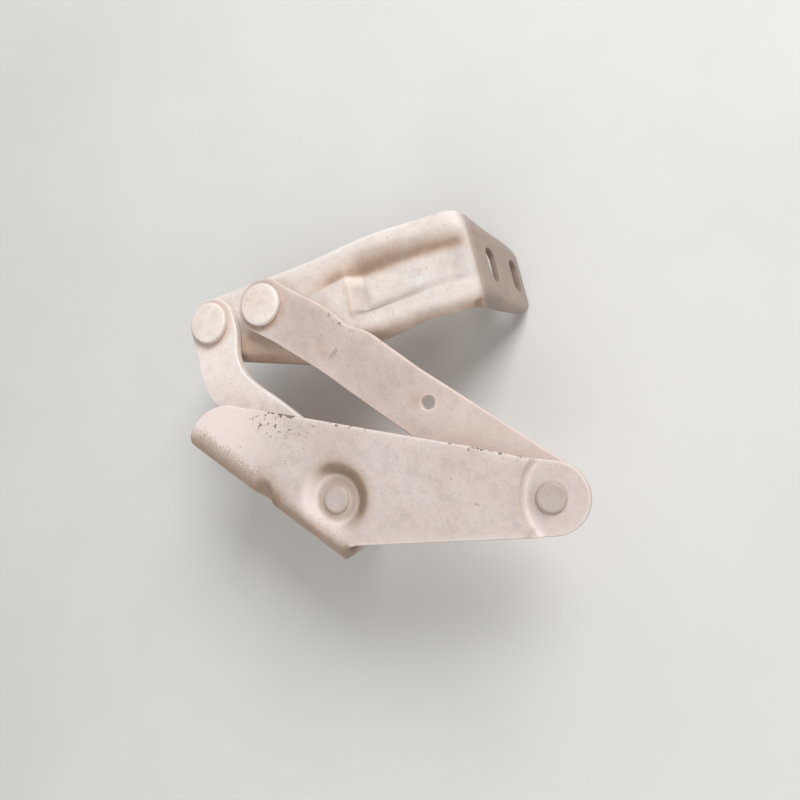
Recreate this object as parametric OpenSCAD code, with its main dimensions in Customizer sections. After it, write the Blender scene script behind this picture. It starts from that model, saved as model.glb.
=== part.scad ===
// Bonnet hinge: a body bracket, two links and a bonnet arm on shouldered rivets.
// Origin at the centre of the body bolts on the flange's outer face.
// +X runs along the body flange, +Y into the hinge, +Z along the pivots to the bracket's face.

/* [Linkage] */
// Distance between the two pivots on the body bracket (mm)
pivot_span = 91.4; // [84:0.1:100]
// Pivot-to-pivot length of the short link (mm)
short_link_length = 112.5; // [108:0.1:118]
// Pivot-to-pivot length of the long link (mm)
long_link_length = 160.8; // [156:0.1:166]
// Distance between the two pivots on the bonnet arm (mm)
arm_pivot_span = 31.5; // [29:0.1:34]
// Direction of the long link at rest (deg)
long_link_angle = 177.6; // [175:0.1:180]

/* [Body bracket] */
// Sheet thickness of the bracket and the links (mm)
plate_t = 4; // [3:0.1:5]
// Length of the body flange along its bend (mm)
flange_length = 99; // [92:0.5:110]
// Depth of the body flange below the bracket's face (mm)
flange_depth = 64; // [60:0.5:70]
// Inside radius of the flange bend (mm)
bend_r = 5; // [3:0.5:6]
// Distance between the two body bolts (mm)
body_bolt_spacing = 52; // [44:0.5:58]
// Diameter of the body bolt holes (mm)
body_bolt_d = 9; // [6.6:0.1:11]
// Radius of the bracket's rounded tail (mm)
tail_r = 23.4; // [20:0.1:26]
// Radius of the ear around the long link's pivot (mm)
ear_r = 14.5; // [13:0.1:17]
// Depth the pivot seats are pressed in (mm)
seat_depth = 3.4; // [2.6:0.1:4]
// Radius of the pressed seat at the short link's pivot (mm)
seat_r = 15.7; // [14:0.1:17]

/* [Bonnet arm] */
// Sheet thickness of the arm (mm)
arm_t = 3; // [2:0.1:3.5]
// Length from the first arm pivot to the bend of the bonnet flange (mm)
arm_length = 136; // [130:0.5:145]
// Depth of the arm's upper side (mm)
arm_side = 22; // [18:0.5:26]
// Depth of the arm's lower side at the bonnet flange (mm)
arm_low_side = 13; // [11:0.5:18]
// Depth of the stiffening recess in the arm (mm)
recess_depth = 5; // [3:0.1:6]
// Angle the bonnet flange is opened beyond square (deg)
flange_flare = 12; // [6:0.5:16]
// Width of the bonnet slots (mm)
slot_w = 9; // [6.6:0.1:11]
// End-to-end length of the bonnet slots (mm)
slot_l = 17; // [13:0.5:20]
// Distance between the two bonnet slots (mm)
slot_spacing = 26; // [22:0.5:28]

/* [Pivots] */
// Diameter of the rivet heads (mm)
head_d = 20.4; // [18:0.1:22]
// Thickness of the rivet heads (mm)
head_h = 3; // [2.4:0.1:3.4]
// Diameter of the rivet journals (mm)
journal_d = 11; // [10:0.1:12]
// Diameter of the peened rivet ends (mm)
button_d = 12; // [11:0.1:13.5]
// Thickness of the thin pivot washers (mm)
washer_t = 0.5; // [0.4:0.1:1]
// Depth of the joggle in the long link (mm)
joggle = 1.5; // [0.5:0.1:2]
// Diameter of the tooling hole in the long link (mm)
tooling_d = 6; // [4:0.1:8]

/* [Output] */
// Node to draw

/* [Hidden] */
$fn = 72;
eps = 0.01;
play = 0.1;
run_gap = 0.05;
paint = [0.86, 0.80, 0.76];
steel = [0.78, 0.75, 0.72];
bronze = [0.62, 0.47, 0.28];

// Heights of the layers, from the bracket's face down
face_z = 36;
plate_back_z = face_z - plate_t;
seat_z = face_z - seat_depth;
seat_back_z = seat_z - plate_t;
link_z = seat_back_z - washer_t - play;
link_back_z = link_z - plate_t;
arm_z = link_back_z - play - washer_t;
arm_back_z = arm_z - arm_t;
foot_z = face_z - flange_depth;

// Pivot places: A and D on the bracket, B and C on the arm
pivot_a = [31.6, 20.8];
pivot_d = pivot_a + pivot_span * [cos(32.5), sin(32.5)];
pivot_c = pivot_d + long_link_length * [cos(long_link_angle), sin(long_link_angle)];
reach = pivot_c - pivot_a;
reach_l = norm(reach);
foot_l = (short_link_length ^ 2 - arm_pivot_span ^ 2 + reach_l ^ 2) / (2 * reach_l);
rise_l = sqrt(short_link_length ^ 2 - foot_l ^ 2);
pivot_b = pivot_a + foot_l * reach / reach_l + rise_l * [-reach[1], reach[0]] / reach_l;
short_dir = pivot_b - pivot_a;
short_link_angle = atan2(short_dir[1], short_dir[0]);
arm_dir = pivot_c - pivot_b;
arm_set = 3;
arm_angle = atan2(arm_dir[1], arm_dir[0]) + arm_set;

// Rivets, bushes and washers
head_r = head_d / 2;
journal_r = journal_d / 2;
button_r = button_d / 2;
button_h = 1.6;
tail_d = 8.5;
bush_wall = 1.5;
bush_r = journal_r + bush_wall;
washer_r = 8.4;
loose_r = journal_r + 2.5;

// Bracket details
bend_out_r = bend_r + plate_t;
tail_x = -flange_length / 2 + sqrt(tail_r ^ 2 - 8 ^ 2);
tail_c = [tail_x, 8];
seat_floor_r = seat_r - 6.2;
step_r = 23.6;
step_c = pivot_d + [9.6, 6.6];
flange_rake = 12;
dart_x = -1.5;
dart_r = 6.8;

// Link outlines, in each link's own frame with the bracket pivot at the origin
knee = [83.5, 13.2];
knee_r = 11.4;
short_a_r = 14.5;
short_b_r = 12.8;
long_d_r = 14;
long_c_r = 13.5;
joggle_x = long_link_length - 53;
joggle_run = 13;

// Arm details, in the arm's frame with pivot B at the origin
arm_bend_r = 5;
arm_roll = 9;
arm_bend_x = arm_length - arm_bend_r;
arm_top = 16.5;
arm_low = -32.5;
arm_flange_top = 5;
arm_flange_w = 38.5;
drop = arm_z - foot_z;
leg_start = arm_bend_r * (1 - sin(flange_flare));
leg_l = (drop - leg_start) / cos(flange_flare);
slot_y = -14;
slot_first = (17.5 - leg_start) / cos(flange_flare);

// Place children in the plane of the pivots
module at(p, turn = 0) {
    translate([p[0], p[1], 0]) rotate(turn) children();
}

// Cone frustum that presses a seat: rim radius at the top, floor radius below
module press(rim, floor_r, depth, top) {
    translate([0, 0, top - depth]) cylinder(r1 = floor_r, r2 = rim, h = depth);
}

// Outline of the bracket seen along the pivots
module bracket_plan() {
    intersection() {
        union() {
            hull() {
                translate(tail_c) circle(r = tail_r);
                translate(pivot_d) circle(r = ear_r);
                translate([flange_length / 2 + 0.6, bend_out_r + 1]) circle(r = 1.2);
            }
            translate([-flange_length / 2, 0]) square([flange_length, bend_out_r + 2]);
        }
        translate([-150, 0]) square([400, 250]);
    }
}

// Section of plate, bend and flange, with the outer face at x = 0 and the front face at y = 0
module bracket_section() {
    translate([bend_out_r, -plate_t]) square([200, plate_t]);
    translate([0, -flange_depth]) square([plate_t, flange_depth - bend_out_r]);
    intersection() {
        translate([0, -bend_out_r]) square(bend_out_r);
        translate([bend_out_r, -bend_out_r]) difference() {
            circle(r = bend_out_r);
            circle(r = bend_r);
        }
    }
}

// Outline of the flange face: raked ends and rounded lower corners
module flange_face() {
    half = flange_length / 2;
    inset = (flange_depth - bend_out_r) * tan(flange_rake);
    hull() {
        translate([-half - 2, -bend_out_r]) square([flange_length + 6, bend_out_r + 1]);
        translate([-half + inset / 2 + 8, 8 - flange_depth]) circle(r = 8);
        translate([half - inset + 8 - 2, 8 - flange_depth]) circle(r = 8);
    }
}

// Bent sheet of the bracket before its seats are pressed
module bracket_sheet() {
    intersection() {
        translate([-150, 0, face_z]) rotate([90, 0, 90])
            linear_extrude(400) bracket_section();
        translate([0, 0, foot_z - 1]) linear_extrude(flange_depth + 2) bracket_plan();
        union() {
            translate([-150, bend_out_r, foot_z - 2]) cube([400, 250, flange_depth + 4]);
            translate([0, bend_out_r + 1, face_z]) rotate([90, 0, 0])
                linear_extrude(bend_out_r + 2) flange_face();
        }
    }
}

// Round bar across the bend, for the stiffening dart pressed into it
module dart(r) {
    translate([dart_x, 0, face_z]) rotate([-45, 0, 0]) cylinder(r = r, h = 60, center = true);
}

// Pressed bracket that bolts to the body and carries both link pivots
module body_bracket() {
    color(paint) difference() {
        union() {
            bracket_sheet();
            at(pivot_a) press(seat_r + 1, seat_floor_r + 1, seat_depth + 0.5, plate_back_z + 0.5);
            intersection() {
                at(step_c) press(step_r + 1, step_r - 1.6, seat_depth + 0.5, plate_back_z + 0.5);
                translate([0, 0, seat_back_z - 1]) linear_extrude(plate_t + 3) bracket_plan();
            }
            intersection() {
                dart(dart_r + 3);
                translate([dart_x - 20, plate_t - 0.5, plate_back_z - 19.5]) cube([40, 20, 20]);
            }
        }
        at(pivot_a) press(seat_r + 0.02, seat_floor_r, seat_depth + 0.01, face_z + 0.01);
        at(step_c) press(step_r + 0.02, step_r - 2.6, seat_depth + 0.01, face_z + 0.01);
        dart(dart_r);
        for (p = [pivot_a, pivot_d])
            translate([p[0], p[1], seat_back_z - 1]) cylinder(d = tail_d, h = plate_t + 2);
        for (s = [-1, 1])
            translate([s * body_bolt_spacing / 2, -1, 0]) rotate([-90, 0, 0])
                cylinder(d = body_bolt_d, h = plate_t + 2);
    }
}

// Shouldered rivet: head on top, journal, then a peened end; z = 0 is under the head
module rivet(journal_h, seat_t) {
    rotate_extrude() polygon([
        [0, head_h], [head_r - 0.7, head_h], [head_r, head_h - 0.6], [head_r, 0],
        [journal_r, 0], [journal_r, -journal_h], [tail_d / 2, -journal_h],
        [tail_d / 2, -journal_h - seat_t], [button_r, -journal_h - seat_t],
        [button_r - 0.3, -journal_h - seat_t - 0.7],
        [button_r - 1.1, -journal_h - seat_t - button_h],
        [0, -journal_h - seat_t - button_h]]);
}

// Rivet that is peened into a pressed seat of the bracket, its head under the link
module bracket_rivet(p) {
    color(steel) translate([p[0], p[1], link_back_z - play]) rotate([180, 0, 0])
        rivet(seat_back_z - link_back_z + play, plate_t);
}

// Rivet that is peened into the arm, its head over a link whose face is at z
module arm_rivet(p, z) {
    color(steel) translate([p[0], p[1], z + play]) rivet(z + play - arm_z, arm_t);
}

module rivet_a() { bracket_rivet(pivot_a); }
module rivet_d() { bracket_rivet(pivot_d); }
module rivet_b() { arm_rivet(pivot_b, link_z); }
module rivet_c() { arm_rivet(pivot_c, link_z + joggle); }

// Flat ring around a journal
module ring(p, z, h, r) {
    translate([p[0], p[1], z]) difference() {
        cylinder(r = r, h = h);
        translate([0, 0, -1]) cylinder(r = journal_r, h = h + 2);
    }
}

module washer_a() { color(steel) ring(pivot_a, seat_back_z - washer_t, washer_t, washer_r); }
module washer_d() { color(steel) ring(pivot_d, seat_back_z - washer_t, washer_t, washer_r); }
module washer_b() { color(steel) ring(pivot_b, arm_z, washer_t, washer_r); }
module washer_c() { color(steel) ring(pivot_c, arm_z, washer_t + joggle, washer_r); }

// Plain bearing bush pressed into a link
module bush(p) {
    color(bronze) translate([p[0], p[1], link_back_z]) difference() {
        cylinder(r = bush_r, h = plate_t);
        translate([0, 0, -1]) cylinder(r = journal_r + run_gap, h = plate_t + 2);
    }
}

module bush_a() { bush(pivot_a); }
module bush_b() { bush(pivot_b); }
module bush_d() { bush(pivot_d); }

// Cranked outline of the short link
module short_plan() {
    offset(r = -8) offset(delta = 8) union() {
        hull() {
            circle(r = short_a_r);
            translate(knee) circle(r = knee_r);
        }
        hull() {
            translate(knee) circle(r = knee_r);
            translate([short_link_length, 0]) circle(r = short_b_r);
        }
    }
}

// Cranked link between the bracket's first pivot and the arm's first pivot
module short_link() {
    color(paint) difference() {
        at(pivot_a, short_link_angle) translate([0, 0, link_back_z])
            linear_extrude(plate_t) short_plan();
        for (p = [pivot_a, pivot_b])
            translate([p[0], p[1], link_back_z - 1]) cylinder(r = bush_r, h = plate_t + 2);
    }
}

// Outline of the long link, wider on the side of the joggle
module long_plan() {
    l = long_link_length;
    circle(r = long_d_r);
    translate([l, 0]) circle(r = long_c_r);
    polygon([
        [0, -long_d_r], [joggle_x, -15.2], [joggle_x + joggle_run, -13.6], [l, -long_c_r],
        [l, long_c_r], [l - 18, 11.4], [l - 98, 11.9], [0, long_d_r]]);
}

// Side view of the long link with its joggle
module long_section() {
    l = long_link_length + 30;
    polygon([
        [-30, 0], [joggle_x, 0], [joggle_x + joggle_run, joggle], [l, joggle],
        [l, joggle + plate_t], [joggle_x + joggle_run, joggle + plate_t],
        [joggle_x, plate_t], [-30, plate_t]]);
}

// Straight link between the bracket's ear and the arm's second pivot, which runs loose here
module long_link() {
    color(paint) at(pivot_d, long_link_angle) difference() {
        intersection() {
            translate([0, 40, link_back_z]) rotate([90, 0, 0])
                linear_extrude(80) long_section();
            translate([0, 0, link_back_z - 1]) linear_extrude(plate_t + 5) long_plan();
        }
        translate([0, 0, link_back_z - 1]) cylinder(r = bush_r, h = plate_t + 2);
        translate([long_link_length, 0, link_back_z - 1]) cylinder(r = loose_r, h = plate_t + 5);
        translate([64, -4.3, link_back_z - 1]) cylinder(d = tooling_d, h = plate_t + 2);
    }
}

// Disc with a rolled upper edge, drawn downwards from z = 0
module puck(p, r, roll, depth) {
    translate([p[0], p[1], 0]) rotate_extrude($fn = 48) polygon(concat(
        [[0, -depth], [r, -depth]],
        [for (a = [0 : 15 : 90]) [r - roll + roll * cos(a), roll * sin(a) - roll]],
        [[0, 0]]));
}

// Domed body of the arm, shrunk all round by inset for the inside
module arm_body(inset, extra) {
    translate([0, 0, -inset]) hull() {
        puck([0, 0], 16.5 - inset, 5 - inset, 13 + extra);
        puck([45, arm_low + 15], 15 - inset, 8 - inset, (arm_side + arm_low_side) / 2 + extra);
        puck([arm_length - 12, arm_low + 11], 11 - inset, arm_roll - inset, arm_low_side + extra);
        puck([arm_length - 16, arm_top - 16], 16 - inset, arm_roll - inset, arm_side + extra);
    }
}

// Tapered stiffening recess, grown by skin for the back of the sheet
module arm_recess(skin, depth, top) {
    hull() for (p = [[80, -4.5], [80, -15.5], [arm_length - 16, -6], [arm_length - 16, -16.5]])
        translate([p[0], p[1], 0]) press(7 + skin, 2.5 + skin, depth, top);
}

// Outline of the bonnet flange with its slots, seen from outside: y is 0 where the bend ends
module bonnet_face() {
    difference() {
        hull() {
            translate([arm_flange_top - arm_flange_w, -1]) square([arm_flange_w, 20]);
            for (x = [arm_flange_top - arm_flange_w + 8, arm_flange_top - 7])
                translate([x, 6 - leg_l]) circle(r = 6);
        }
        for (i = [0, 1])
            translate([slot_y, -slot_first - i * slot_spacing]) hull()
                for (s = [-1, 1])
                    translate([s * (slot_l - slot_w) / 2, 0]) circle(d = slot_w);
    }
}

// Section through the bend and the flange, with a short lap into the web
module bend_section() {
    function arc(r, a) = r * [cos(a), sin(a)];
    down = leg_l * [sin(flange_flare), -cos(flange_flare)];
    step = (90 - flange_flare) / 8;
    in_r = arm_bend_r - arm_t;
    polygon(concat(
        [[-4, in_r], [-4, arm_bend_r]],
        [for (i = [0 : 8]) arc(arm_bend_r, 90 - i * step)],
        [arc(arm_bend_r, flange_flare) + down, arc(in_r, flange_flare) + down],
        [for (i = [8 : -1 : 0]) arc(in_r, 90 - i * step)]));
}

// Bent end of the arm with its slotted flange
module arm_flange() {
    translate([arm_bend_x, 0, -arm_bend_r]) intersection() {
        translate([0, arm_flange_top, 0]) rotate([90, 0, 0])
            linear_extrude(arm_flange_w) bend_section();
        rotate([0, -flange_flare, 0]) rotate([90, 0, 90]) translate([0, 0, -20])
            linear_extrude(50) bonnet_face();
    }
}

// Pressed arm that carries the bonnet on its slotted flange
module bonnet_arm() {
    color(paint) at(pivot_b, arm_angle) translate([0, 0, arm_z]) difference() {
        union() {
            difference() {
                arm_body(0, 0);
                arm_body(arm_t, 20);
                translate([arm_bend_x, -70, -60]) cube([40, 70 + arm_flange_top - 1.5, 80]);
            }
            arm_recess(1.2, recess_depth + 1, -arm_t + 1);
            arm_flange();
        }
        arm_recess(0, recess_depth + 0.01, 0.01);
        for (p = [[0, 0], [arm_pivot_span * cos(arm_set), -arm_pivot_span * sin(arm_set)]])
            translate([p[0], p[1], -arm_t - 1]) cylinder(d = tail_d, h = arm_t + 2);
    }
}

body_bracket();
rivet_a();
rivet_d();
washer_a();
washer_d();
short_link();
bush_a();
bush_b();
long_link();
bush_d();
bonnet_arm();
rivet_b();
rivet_c();
washer_b();
washer_c();
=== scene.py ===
"""Bonnet hinge in worn off-white paint: sheet pieces, rivets, bearings and a plain studio."""

import logging
import math
from dataclasses import dataclass, field
from enum import Enum
from typing import Callable

import bpy
import numpy as np
from mathutils import Matrix, Vector
from mathutils.geometry import delaunay_2d_cdt


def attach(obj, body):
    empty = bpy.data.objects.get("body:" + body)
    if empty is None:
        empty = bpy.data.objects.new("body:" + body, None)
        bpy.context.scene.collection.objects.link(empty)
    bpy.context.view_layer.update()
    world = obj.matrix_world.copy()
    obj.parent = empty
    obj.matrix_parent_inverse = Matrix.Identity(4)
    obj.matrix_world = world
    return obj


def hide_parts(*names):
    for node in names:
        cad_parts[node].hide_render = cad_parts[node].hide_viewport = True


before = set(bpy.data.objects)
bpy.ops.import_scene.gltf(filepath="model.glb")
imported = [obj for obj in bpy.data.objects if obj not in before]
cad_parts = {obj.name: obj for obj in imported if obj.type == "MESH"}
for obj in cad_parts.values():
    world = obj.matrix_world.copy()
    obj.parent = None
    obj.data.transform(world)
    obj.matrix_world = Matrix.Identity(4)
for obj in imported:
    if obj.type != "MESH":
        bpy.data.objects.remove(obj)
log = logging.getLogger("bonnet_hinge")

MM = 0.001
Array = np.ndarray

# Lays points of a flat blank at their depths, in millimetres
Place = Callable[[Array, Array], Array]

# Gives the strength of a layer of wear, painted shade or painted light at points of a flat blank
Tone = Callable[[Array], Array]

# Linear red, green and blue, and a place in metres
Colour = tuple[float, float, float]
Point = tuple[float, float, float]

# Pivots in millimetres: A and D on the bracket, B and C on the arm
PIVOT_A = np.array([31.6, 20.8])
PIVOT_B = np.array([-75.391, 55.575])
PIVOT_C = np.array([-51.973, 76.643])
PIVOT_D = np.array([108.686, 69.909])

# Levels in millimetres: front faces of bracket, seats, links and arm, then the floor
FACE_Z = 36.0
SEAT_Z = 32.6
LINK_Z = 28.0
ARM_Z = 23.4
FLOOR_Z = -28.64

# The bracket's plate and bend lie above this level
PLATE_Z = 25.0

# Gap between a rivet's head and the link that turns beside it
HEAD_GAP = 0.1

# Radius of the painted shadow around a rivet's head
HEAD_RING = 11.0

# Number of points that are measured at a time, to save memory
CHUNK = 2000


class Layer(Enum):
    """Vertex attributes that carry wear, painted shade and painted light to the finishes."""

    EDGE = "edge"
    # Soil and stains together with painted shade in hollows, under parts and on faces turned from the light
    SHADE_AND_STAIN = "shade_and_stain"
    WORN = "worn"
    CHIPS = "chips"
    SCORED = "scored"
    # Painted light: lighter lit faces, painted highlights and a painted sheen
    PAINTED_LIGHT = "pale"
    # Painted grey shade in creases and on shaded walls, with some greyer paint
    GREYING_AND_SHADE = "dull"


class HeadSide(Enum):
    """Which way a rivet's large head points along the pivots."""

    UP = 1.0
    DOWN = -1.0


def unit(x: Array) -> Array:
    """Return x clamped to 0 and 1."""
    return np.clip(x, 0.0, 1.0)


def smooth(t: Array) -> Array:
    """Return the smoothstep of t, clamped to 0 and 1."""
    t = unit(t)
    return t * t * (3.0 - 2.0 * t)


def rise(x: Array, start: float | Array, run: float | Array) -> Array:
    """Return a smooth climb from 0 at the start to 1 at the end of the run."""
    return smooth((x - start) / run)


def fall(x: Array, end: float | Array, run: float | Array) -> Array:
    """Return a smooth descent from 1 before the run to 0 at the end."""
    return smooth((end - x) / run)


def bump(x: Array, centre: float | Array, width: float) -> Array:
    """Return a smooth rise to 1 round a centre."""
    return np.exp(-((x - centre) / width) ** 2)


def arc(centre: Array, radius: float, start: float, end: float, count: int = 24) -> list[Array]:
    """Return points on an arc.

    Args:
        centre: Centre of the arc.
        radius: Radius of the arc.
        start: First angle in degrees.
        end: Last angle in degrees.
        count: Number of points.

    Returns:
        The points in order.
    """
    angles = np.radians(np.linspace(start, end, count))
    return [np.asarray(centre) + radius * np.array([math.cos(a), math.sin(a)]) for a in angles]


def resample(points: list[Array] | Array, step: float) -> Array:
    """Return a closed loop with even spacing.

    Args:
        points: Corners of the loop, without a repeated end.
        step: Wanted spacing.

    Returns:
        Loop of points, one row each.
    """
    loop = np.vstack([np.asarray(points), np.asarray(points)[:1]])
    run = np.concatenate([[0.0], np.cumsum(np.linalg.norm(np.diff(loop, axis=0), axis=1))])
    count = max(12, int(round(run[-1] / step)))
    at = np.linspace(0.0, run[-1], count, endpoint=False)
    return np.column_stack([np.interp(at, run, loop[:, 0]), np.interp(at, run, loop[:, 1])])


def relax(loop: Array, passes: int) -> Array:
    """Return the loop with its corners eased by averaging neighbours.

    Args:
        loop: Closed loop of points.
        passes: Number of averaging passes.

    Returns:
        The eased loop.
    """
    for _ in range(passes):
        loop = 0.25 * np.roll(loop, 1, axis=0) + 0.5 * loop + 0.25 * np.roll(loop, -1, axis=0)
    return loop


def left_normals(loop: Array) -> Array:
    """Return unit normals that point to the left of travel along a closed loop."""
    along = np.roll(loop, -1, axis=0) - np.roll(loop, 1, axis=0)
    along /= np.linalg.norm(along, axis=1)[:, None]
    return np.column_stack([-along[:, 1], along[:, 0]])


def inside(points: Array, loop: Array) -> Array:
    """Tell which points lie inside a loop.

    Args:
        points: Points, one row each.
        loop: Closed loop of corners.

    Returns:
        Boolean array, one value for each point.
    """
    result = np.zeros(len(points), bool)
    x, y = points[:, 0], points[:, 1]
    for (x0, y0), (x1, y1) in zip(loop, np.roll(loop, -1, axis=0)):
        if y0 == y1:
            continue
        crosses = (y0 > y) != (y1 > y)
        result ^= crosses & (x < x0 + (y - y0) * (x1 - x0) / (y1 - y0))
    return result


def within(points: Array, loops: list[Array]) -> Array:
    """Tell which points lie inside the first loop and outside all others."""
    result = inside(points, loops[0])
    for hole in loops[1:]:
        result &= ~inside(points, hole)
    return result


def loop_edges(loops: list[Array]) -> list[tuple[int, int]]:
    """Return the edges of loops whose points follow each other in one list."""
    edges = []
    start = 0
    for loop in loops:
        n = len(loop)
        edges += [(start + i, start + (i + 1) % n) for i in range(n)]
        start += n
    return edges


def nearest(points: Array, loop: Array) -> Array:
    """Return each point's distance to the closest corner of a loop."""
    best = np.zeros(len(points))
    for start in range(0, len(points), CHUNK):
        span = slice(start, start + CHUNK)
        gap = np.linalg.norm(points[span][:, None, :] - loop[None, :, :], axis=2)
        best[span] = gap.min(axis=1)
    return best


def apart(points: Array, spot: Array | list[float]) -> Array:
    """Return each point's distance from a spot."""
    return np.linalg.norm(points - spot, axis=1)


def from_pivot(plan: Array, pivot: Array, towards: tuple[float, float]) -> tuple[Array, Array]:
    """Measure points around a pivot.

    Args:
        plan: Plan points in the hinge's frame.
        pivot: The pivot.
        towards: A direction of about unit length.

    Returns:
        Each point's distance, and its side: 1 towards the direction, -1 on the far side.
    """
    away = plan - pivot
    reach = np.maximum(np.linalg.norm(away, axis=1), 1e-6)
    return reach, away @ np.array(towards) / reach


def round_hole(centre: tuple[float, float] | Array, radius: float, step: float = 0.7) -> Array:
    """Return a round hole as a loop that keeps the sheet on its left."""
    return resample(arc(np.asarray(centre), radius, 360.0, 0.0, 73)[:-1], step)


def turned(points: Array, origin: Array, angle: float) -> Array:
    """Return plan points moved from a piece's own frame into the hinge's frame.

    Args:
        points: Points in the piece's frame, in millimetres.
        origin: The piece's pivot.
        angle: Direction of the piece's x axis in degrees.

    Returns:
        Points in the hinge's frame.
    """
    c, s = math.cos(math.radians(angle)), math.sin(math.radians(angle))
    return points @ np.array([[c, s], [-s, c]]) + origin


def store(mesh: bpy.types.Mesh, values: dict[Layer, Array]) -> None:
    """Store every layer of wear, painted shade and painted light on a mesh, as zero where no values are
    given.

    Args:
        mesh: The mesh to write to.
        values: One value for each point, by layer.
    """
    for layer in Layer:
        data = mesh.attributes.new(layer.value, "FLOAT", "POINT")
        data.data.foreach_set("value", values.get(layer, np.zeros(len(mesh.vertices))).astype(np.float32))


def add(name: str, data: bpy.types.ID) -> bpy.types.Object:
    """Return a new object that carries the data, linked to the scene."""
    piece = bpy.data.objects.new(name, data)
    bpy.context.scene.collection.objects.link(piece)
    return piece


@dataclass
class Sheet:
    """A pressed sheet: a flat blank with holes, laid into shape with a real thickness.

    The blank is filled with small triangles on both faces, closer along its creases, and its cut
    edges are rolled.
    """

    outline: Array
    holes: list[Array]
    place: Place
    thickness: float
    grid: float = 1.5
    edge_radius: float = 0.55
    margin: float = 1.5
    raw: float = 0.35
    edge_fade: float = 6.0
    crease: Array = field(default_factory=lambda: np.zeros((0, 2)))

    def rings(self) -> list[tuple[float, float]]:
        """Return the edge's rings as pairs of inset and depth, from front to back."""
        e, t = self.edge_radius, self.thickness
        front = [(self.margin, 0.0), (e, 0.0), (0.5 * e, 0.134 * e), (0.134 * e, 0.5 * e), (0.0, e)]
        return front + [(0.0, 0.5 * t)] + [(i, t - d) for i, d in reversed(front)]

    def fill(self, loops: list[Array]) -> tuple[Array, list[tuple[int, ...]]]:
        """Fill the blank inside the loops with triangles.

        Args:
            loops: The outer loop, then the holes.

        Returns:
            All points, the loops' own first, and the triangles between them.
        """
        rim = np.vstack(loops)
        low, high = loops[0].min(axis=0), loops[0].max(axis=0)
        rows = []
        for k, y in enumerate(np.arange(low[1], high[1], self.grid * math.sqrt(0.75))):
            x = np.arange(low[0] + (k % 2) * 0.5 * self.grid, high[0], self.grid)
            rows.append(np.column_stack([x, np.full(len(x), y)]))
        inner = np.vstack(rows)
        if len(self.crease):
            inner = np.vstack([inner[nearest(inner, self.crease) > 0.5 * self.grid], self.crease])
        inner = inner[within(inner, loops)]
        inner = inner[nearest(inner, rim) > 0.6 * self.grid]
        points = np.vstack([rim, inner])
        found = delaunay_2d_cdt([Vector(p) for p in points], loop_edges(loops), [], 0, 1e-6)
        source = [ids[0] for ids in found[3]]
        faces = [tuple(source[i] for i in face) for face in found[2]]
        middle = np.array([points[list(face)].mean(axis=0) for face in faces])
        return points, [face for face, ok in zip(faces, within(middle, loops)) if ok]

    def build(self, name: str, tones: dict[Layer, Tone]) -> bpy.types.Object:
        """Build the closed mesh of the sheet.

        Args:
            name: Name of the piece.
            tones: For each layer of wear, painted shade or painted light, its strength at points of the
                blank.

        Returns:
            The piece, at the origin, in metres.
        """
        loops = [self.outline] + self.holes
        normals = [left_normals(loop) for loop in loops]
        fill_points, fill_faces = self.fill(
            [loop + normal * self.margin for loop, normal in zip(loops, normals)])
        rim = sum(len(loop) for loop in loops)
        near = unit(1.0 - nearest(fill_points, np.vstack(loops)) / self.edge_fade)
        # The edge layer drives chips and a painted highlight along the edges
        flat, depths, edge = [fill_points], [np.zeros(len(fill_points))], [0.6 * near ** 2]
        faces: list[tuple[int, ...]] = list(fill_faces)
        base = len(fill_points)
        ids = [np.arange(rim)]
        for inset, down in self.rings()[1:-1]:
            flat.append(np.vstack([loop + normal * inset for loop, normal in zip(loops, normals)]))
            depths.append(np.full(rim, down))
            edge.append(np.full(rim, 0.8 if inset == 0.0 else 1.0))
            ids.append(np.arange(base, base + rim))
            base += rim
        flat.append(fill_points)
        depths.append(np.full(len(fill_points), self.thickness))
        edge.append(edge[0])
        ids.append(np.arange(base, base + rim))
        faces += [tuple(base + i for i in reversed(face)) for face in fill_faces]
        for upper, lower in zip(ids, ids[1:]):
            faces += [(upper[a], lower[a], lower[b], upper[b]) for a, b in loop_edges(loops)]
        blank, depth = np.vstack(flat), np.concatenate(depths)
        points = self.place(blank, depth) * MM
        mesh = bpy.data.meshes.new(name)
        mesh.from_pydata(points.tolist(), [], [tuple(int(i) for i in face) for face in faces])
        mesh.polygons.foreach_set("use_smooth", np.ones(len(mesh.polygons), bool))
        values = {layer: tone(blank) for layer, tone in tones.items()}
        values[Layer.EDGE] = np.concatenate(edge)
        cut = self.raw * ((depth > 0.3 * self.edge_radius) & (depth < self.thickness))
        values[Layer.SHADE_AND_STAIN] = np.maximum(values.get(Layer.SHADE_AND_STAIN, 0.0), cut)
        mesh.validate()
        store(mesh, values)
        mesh.update()
        return add(name, mesh)


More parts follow.
